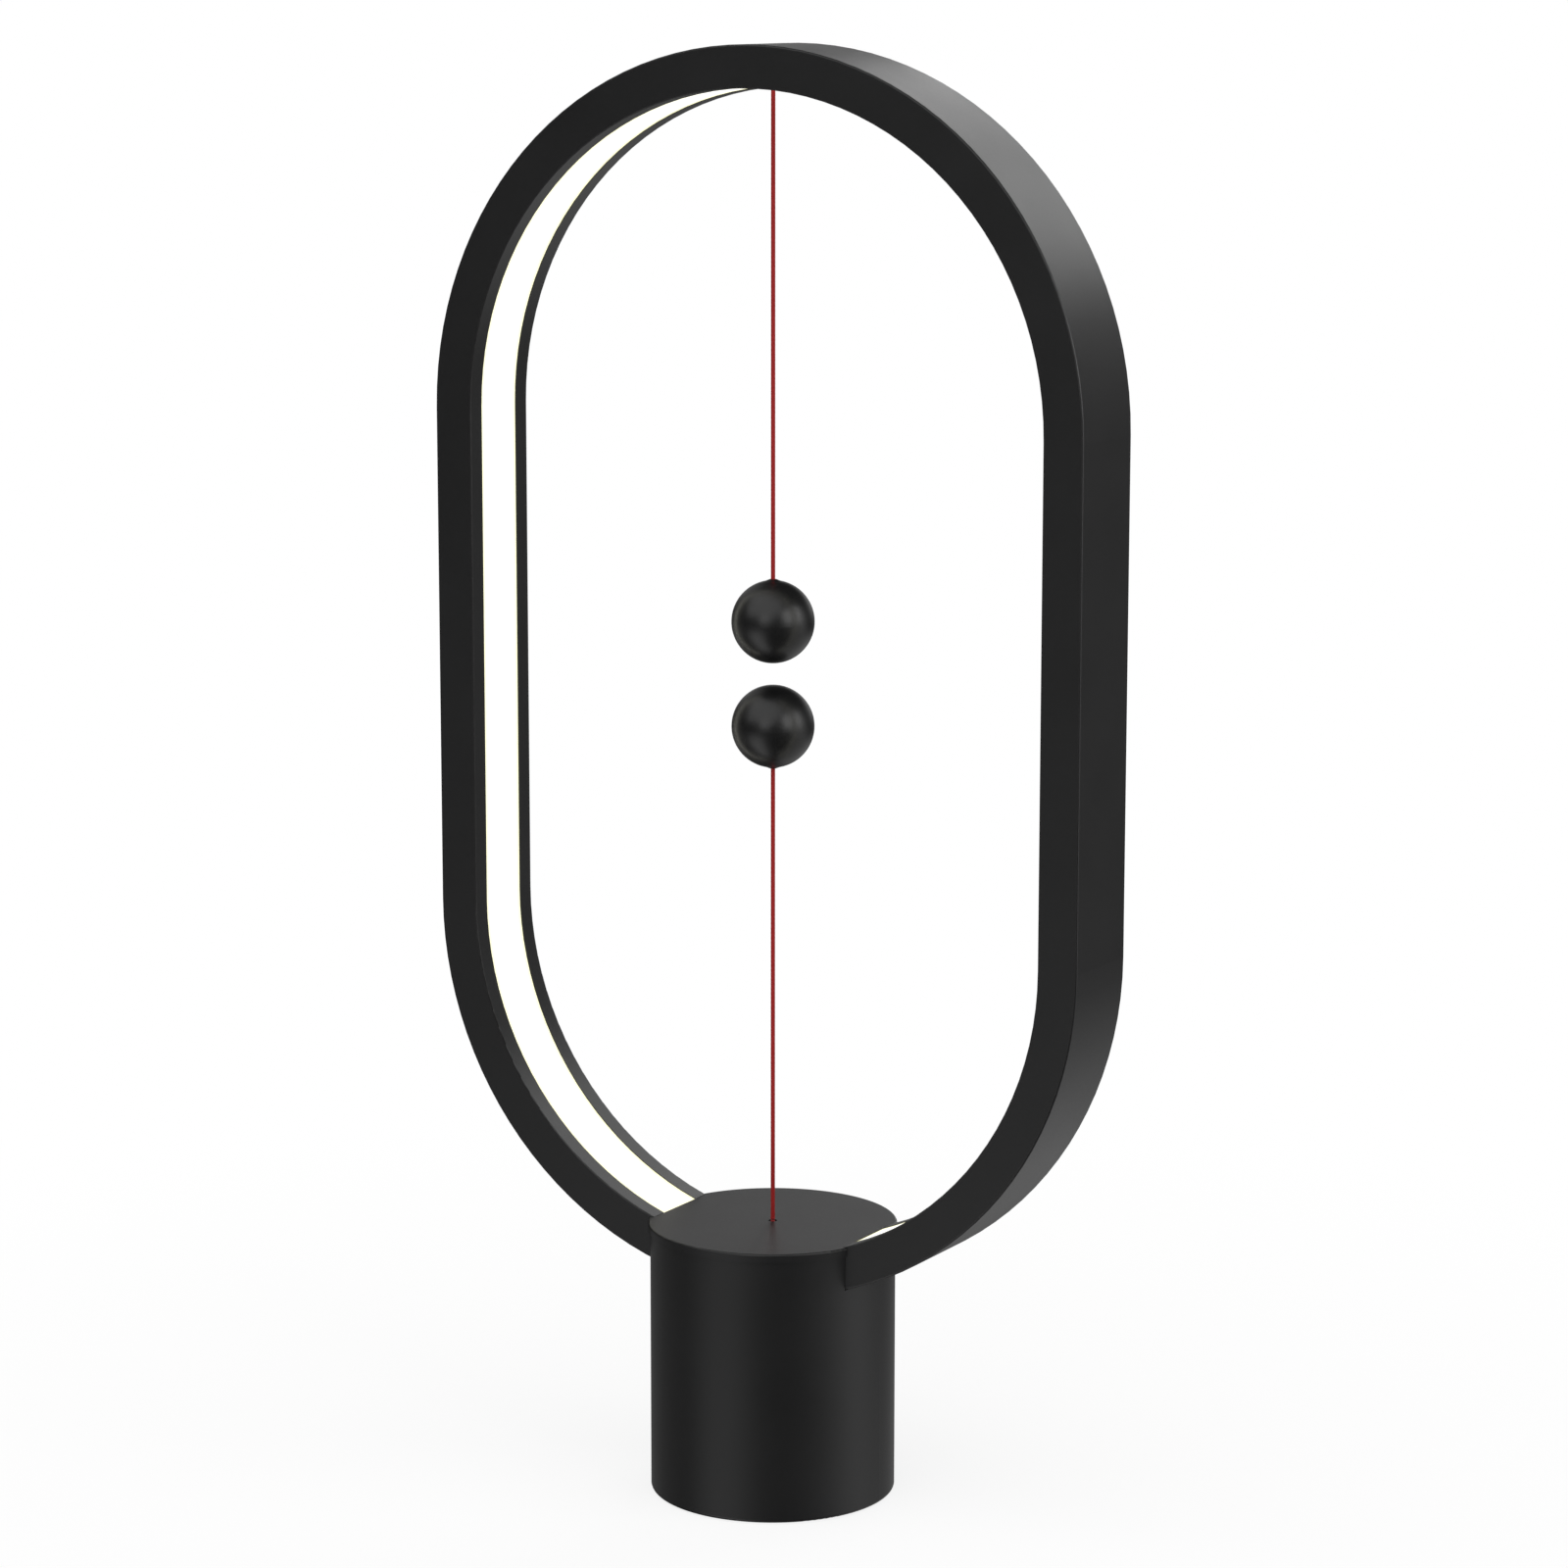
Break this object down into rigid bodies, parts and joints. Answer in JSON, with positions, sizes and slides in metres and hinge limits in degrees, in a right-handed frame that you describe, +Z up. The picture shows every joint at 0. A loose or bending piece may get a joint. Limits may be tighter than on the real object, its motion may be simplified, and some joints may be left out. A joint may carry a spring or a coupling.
{
  "type": "magnetic balance lamp",
  "caption": "Upright stadium-shaped light ring in a round base, switched by magnetic balls on cords that hold each other up in the middle of the ring.",
  "frame": {"origin": "centre of the underside, on the surface that the lamp stands on", "axes": "+Z up along the cords, +X across the ring's width, -Y towards the front; the power inlet faces +Y"},
  "size_m": [0.2, 0.069, 0.3985],
  "materials": {
    "ring_black": "fine satin moulding",
    "base_black": "fine satin moulding",
    "ball_black": "smooth satin",
    "light_strip": "milky, lit from behind",
    "cord_red": "braided",
    "nickel": "nickel plated",
    "steel": "zinc plated",
    "ballast_iron": "as cast",
    "circuit_green": "solder mask",
    "circuit_white": "white solder mask",
    "chip_yellow": "silicone lens",
    "component_black": "moulded",
    "inner_white": "slippery, as moulded",
    "switch_black": "as moulded",
    "lead_grey": "wire insulation",
    "foot_rubber": "matt foam"
  },
  "bodies": {
    "lamp": {"frame_housing": "ring_black", "frame_rear_cover": "ring_black", "diffuser": "light_strip", "led_strip": "circuit_white", "led_chips": "chip_yellow", "cord_anchor": "inner_white", "upper_anchor_knot": "cord_red", "upper_cord_tail": "cord_red", "base_housing": "base_black", "top_cap": "base_black", "frame_saddle": "inner_white", "cord_guide": "inner_white", "frame_screws": "steel", "bottom_plate": "base_black", "bottom_screws": "steel", "foot_pad": "foot_rubber", "ballast_weight": "ballast_iron", "switch_body": "switch_black", "switch_bracket": "steel", "switch_screws": "steel", "bracket_screw": "steel", "control_board": "circuit_green", "board_parts": "component_black", "board_screws": "steel", "usb_socket": "steel", "led_leads": "lead_grey", "switch_leads": "lead_grey"},
    "pull_rod": {"pull_plunger": "inner_white", "lower_anchor_knot": "cord_red", "lower_cord_tail": "cord_red", "return_spring": "steel"},
    "switch_lever": {"switch_lever": "steel"},
    "switch_button": {"switch_button": "component_black"},
    "upper_bend": {"upper_cord_bend": "cord_red"},
    "upper_ball": {"upper_cord": "cord_red", "upper_ball_cord_half": "ball_black", "upper_ball_magnet_half": "ball_black", "upper_magnet": "nickel", "upper_ball_knot": "cord_red"},
    "lower_bend": {"lower_cord_bend": "cord_red"},
    "lower_ball": {"lower_cord": "cord_red", "lower_ball_cord_half": "ball_black", "lower_ball_magnet_half": "ball_black", "lower_magnet": "nickel", "lower_ball_knot": "cord_red"}
  },
  "joints": [
    {"name": "upper_cord_fore_aft", "type": "hinge", "parent": "lamp", "child": "upper_bend", "pos_m": [0, 0, 0.3864], "axis": [1, 0, 0], "range_deg": [-75, 75]},
    {"name": "upper_cord_sideways", "type": "hinge", "parent": "upper_bend", "child": "upper_ball", "pos_m": [0, 0, 0.3864], "axis": [0, 1, 0], "range_deg": [-30, 30]},
    {"name": "pull_slide", "type": "slide", "parent": "lamp", "child": "pull_rod", "axis": [0, 0, 1], "range_m": [-0.0015, 0], "stiffness_N_per_m": 60, "springref_m": 0.004, "deforming": ["return_spring"]},
    {"name": "lower_cord_fore_aft", "type": "hinge", "parent": "pull_rod", "child": "lower_bend", "pos_m": [0, 0, 0.07705], "axis": [1, 0, 0], "range_deg": [-20, 20], "stiffness_Nm_per_rad": 0.04},
    {"name": "lower_cord_sideways", "type": "hinge", "parent": "lower_bend", "child": "lower_ball", "pos_m": [0, 0, 0.07705], "axis": [0, 1, 0], "range_deg": [-20, 20], "stiffness_Nm_per_rad": 0.04},
    {"name": "lever_turn", "type": "hinge", "parent": "lamp", "child": "switch_lever", "pos_m": [-0.012, 0, 0.031], "axis": [0, 1, 0], "range_deg": [0, 7.3]},
    {"name": "button_slide", "type": "slide", "parent": "lamp", "child": "switch_button", "axis": [0, 0, 1], "range_m": [-0.0005, 0]}
  ],
  "couplings": [
    {"joint": "lever_turn", "follows": "pull_slide", "rad_per_m": -83.333},
    {"joint": "button_slide", "follows": "pull_slide", "ratio": 0.3333}
  ]
}
